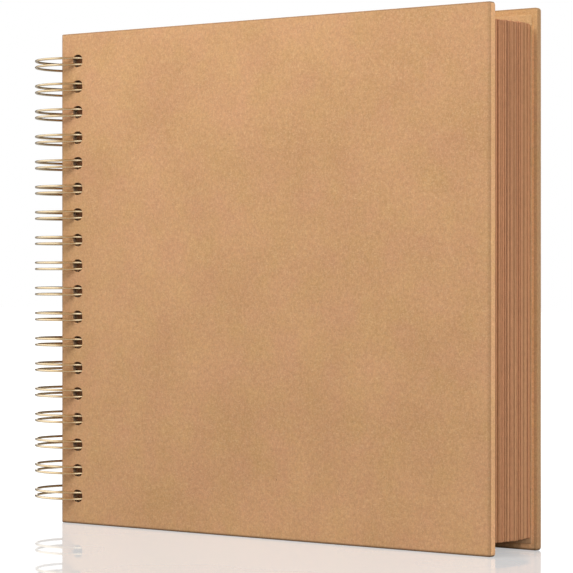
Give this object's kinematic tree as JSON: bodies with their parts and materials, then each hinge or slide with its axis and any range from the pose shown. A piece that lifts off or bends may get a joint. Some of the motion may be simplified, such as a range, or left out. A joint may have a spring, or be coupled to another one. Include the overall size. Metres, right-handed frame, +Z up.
{
  "type": "scrapbook album",
  "caption": "Landscape scrapbook album standing upright: kraft-wrapped board covers and a thick block of kraft card leaves on a gold twin-loop wire; the cover opens and the leaves fan with it.",
  "frame": {"origin": "centre of the bounding box in X and Y, on the level surface that the closed album stands on (z = 0, the covers' bottom edges)", "axes": "+X runs from the wire binding at the spine to the fore-edge, +Y from the front cover to the back cover, +Z up"},
  "size_m": [0.2884, 0.0486, 0.2433],
  "materials": {
    "kraft_cover": "matte",
    "greyboard": "matte",
    "kraft_lining": "matte",
    "page_card": "matte",
    "gold_wire": "polished"
  },
  "bodies": {
    "back_cover": {"back_wrap": "kraft_cover", "back_board": "greyboard", "back_lining": "kraft_lining", "binding_wire": "gold_wire"},
    "front_cover": {"front_wrap": "kraft_cover", "front_board": "greyboard", "front_lining": "kraft_lining"},
    "leaf_01": {"leaf_01": "page_card"},
    "leaf_02": {"leaf_02": "page_card"},
    "leaf_03": {"leaf_03": "page_card"},
    "leaf_04": {"leaf_04": "page_card"},
    "leaf_05": {"leaf_05": "page_card"},
    "leaf_06": {"leaf_06": "page_card"},
    "leaf_07": {"leaf_07": "page_card"},
    "leaf_08": {"leaf_08": "page_card"},
    "leaf_09": {"leaf_09": "page_card"},
    "leaf_10": {"leaf_10": "page_card"},
    "leaf_11": {"leaf_11": "page_card"},
    "leaf_12": {"leaf_12": "page_card"},
    "leaf_13": {"leaf_13": "page_card"},
    "leaf_14": {"leaf_14": "page_card"},
    "leaf_15": {"leaf_15": "page_card"},
    "leaf_16": {"leaf_16": "page_card"},
    "leaf_17": {"leaf_17": "page_card"},
    "leaf_18": {"leaf_18": "page_card"},
    "leaf_19": {"leaf_19": "page_card"},
    "leaf_20": {"leaf_20": "page_card"}
  },
  "joints": [
    {"name": "front_cover_open", "type": "hinge", "parent": "back_cover", "child": "front_cover", "pos_m": [-0.11997, 0, 0], "axis": [0, 0, -1], "range_deg": [0, 180]},
    {"name": "leaf_01_turn", "type": "hinge", "parent": "back_cover", "child": "leaf_01", "pos_m": [-0.11997, 0, 0], "axis": [0, 0, -1], "range_deg": [0, 180]},
    {"name": "leaf_02_turn", "type": "hinge", "parent": "back_cover", "child": "leaf_02", "pos_m": [-0.11997, 0, 0], "axis": [0, 0, -1], "range_deg": [0, 180]},
    {"name": "leaf_03_turn", "type": "hinge", "parent": "back_cover", "child": "leaf_03", "pos_m": [-0.11997, 0, 0], "axis": [0, 0, -1], "range_deg": [0, 180]},
    {"name": "leaf_04_turn", "type": "hinge", "parent": "back_cover", "child": "leaf_04", "pos_m": [-0.11997, 0, 0], "axis": [0, 0, -1], "range_deg": [0, 180]},
    {"name": "leaf_05_turn", "type": "hinge", "parent": "back_cover", "child": "leaf_05", "pos_m": [-0.11997, 0, 0], "axis": [0, 0, -1], "range_deg": [0, 180]},
    {"name": "leaf_06_turn", "type": "hinge", "parent": "back_cover", "child": "leaf_06", "pos_m": [-0.11997, 0, 0], "axis": [0, 0, -1], "range_deg": [0, 180]},
    {"name": "leaf_07_turn", "type": "hinge", "parent": "back_cover", "child": "leaf_07", "pos_m": [-0.11997, 0, 0], "axis": [0, 0, -1], "range_deg": [0, 180]},
    {"name": "leaf_08_turn", "type": "hinge", "parent": "back_cover", "child": "leaf_08", "pos_m": [-0.11997, 0, 0], "axis": [0, 0, -1], "range_deg": [0, 180]},
    {"name": "leaf_09_turn", "type": "hinge", "parent": "back_cover", "child": "leaf_09", "pos_m": [-0.11997, 0, 0], "axis": [0, 0, -1], "range_deg": [0, 180]},
    {"name": "leaf_10_turn", "type": "hinge", "parent": "back_cover", "child": "leaf_10", "pos_m": [-0.11997, 0, 0], "axis": [0, 0, -1], "range_deg": [0, 180]},
    {"name": "leaf_11_turn", "type": "hinge", "parent": "back_cover", "child": "leaf_11", "pos_m": [-0.11997, 0, 0], "axis": [0, 0, -1], "range_deg": [0, 180]},
    {"name": "leaf_12_turn", "type": "hinge", "parent": "back_cover", "child": "leaf_12", "pos_m": [-0.11997, 0, 0], "axis": [0, 0, -1], "range_deg": [0, 180]},
    {"name": "leaf_13_turn", "type": "hinge", "parent": "back_cover", "child": "leaf_13", "pos_m": [-0.11997, 0, 0], "axis": [0, 0, -1], "range_deg": [0, 180]},
    {"name": "leaf_14_turn", "type": "hinge", "parent": "back_cover", "child": "leaf_14", "pos_m": [-0.11997, 0, 0], "axis": [0, 0, -1], "range_deg": [0, 180]},
    {"name": "leaf_15_turn", "type": "hinge", "parent": "back_cover", "child": "leaf_15", "pos_m": [-0.11997, 0, 0], "axis": [0, 0, -1], "range_deg": [0, 180]},
    {"name": "leaf_16_turn", "type": "hinge", "parent": "back_cover", "child": "leaf_16", "pos_m": [-0.11997, 0, 0], "axis": [0, 0, -1], "range_deg": [0, 180]},
    {"name": "leaf_17_turn", "type": "hinge", "parent": "back_cover", "child": "leaf_17", "pos_m": [-0.11997, 0, 0], "axis": [0, 0, -1], "range_deg": [0, 180]},
    {"name": "leaf_18_turn", "type": "hinge", "parent": "back_cover", "child": "leaf_18", "pos_m": [-0.11997, 0, 0], "axis": [0, 0, -1], "range_deg": [0, 180]},
    {"name": "leaf_19_turn", "type": "hinge", "parent": "back_cover", "child": "leaf_19", "pos_m": [-0.11997, 0, 0], "axis": [0, 0, -1], "range_deg": [0, 180]},
    {"name": "leaf_20_turn", "type": "hinge", "parent": "back_cover", "child": "leaf_20", "pos_m": [-0.11997, 0, 0], "axis": [0, 0, -1], "range_deg": [0, 180]}
  ],
  "couplings": [
    {"joint": "leaf_01_turn", "follows": "front_cover_open", "ratio": 0.95238},
    {"joint": "leaf_02_turn", "follows": "front_cover_open", "ratio": 0.90476},
    {"joint": "leaf_03_turn", "follows": "front_cover_open", "ratio": 0.85714},
    {"joint": "leaf_04_turn", "follows": "front_cover_open", "ratio": 0.80952},
    {"joint": "leaf_05_turn", "follows": "front_cover_open", "ratio": 0.76191},
    {"joint": "leaf_06_turn", "follows": "front_cover_open", "ratio": 0.71429},
    {"joint": "leaf_07_turn", "follows": "front_cover_open", "ratio": 0.66667},
    {"joint": "leaf_08_turn", "follows": "front_cover_open", "ratio": 0.61905},
    {"joint": "leaf_09_turn", "follows": "front_cover_open", "ratio": 0.57143},
    {"joint": "leaf_10_turn", "follows": "front_cover_open", "ratio": 0.52381},
    {"joint": "leaf_11_turn", "follows": "front_cover_open", "ratio": 0.47619},
    {"joint": "leaf_12_turn", "follows": "front_cover_open", "ratio": 0.42857},
    {"joint": "leaf_13_turn", "follows": "front_cover_open", "ratio": 0.38095},
    {"joint": "leaf_14_turn", "follows": "front_cover_open", "ratio": 0.33333},
    {"joint": "leaf_15_turn", "follows": "front_cover_open", "ratio": 0.28571},
    {"joint": "leaf_16_turn", "follows": "front_cover_open", "ratio": 0.2381},
    {"joint": "leaf_17_turn", "follows": "front_cover_open", "ratio": 0.19048},
    {"joint": "leaf_18_turn", "follows": "front_cover_open", "ratio": 0.14286},
    {"joint": "leaf_19_turn", "follows": "front_cover_open", "ratio": 0.095238},
    {"joint": "leaf_20_turn", "follows": "front_cover_open", "ratio": 0.047619}
  ]
}
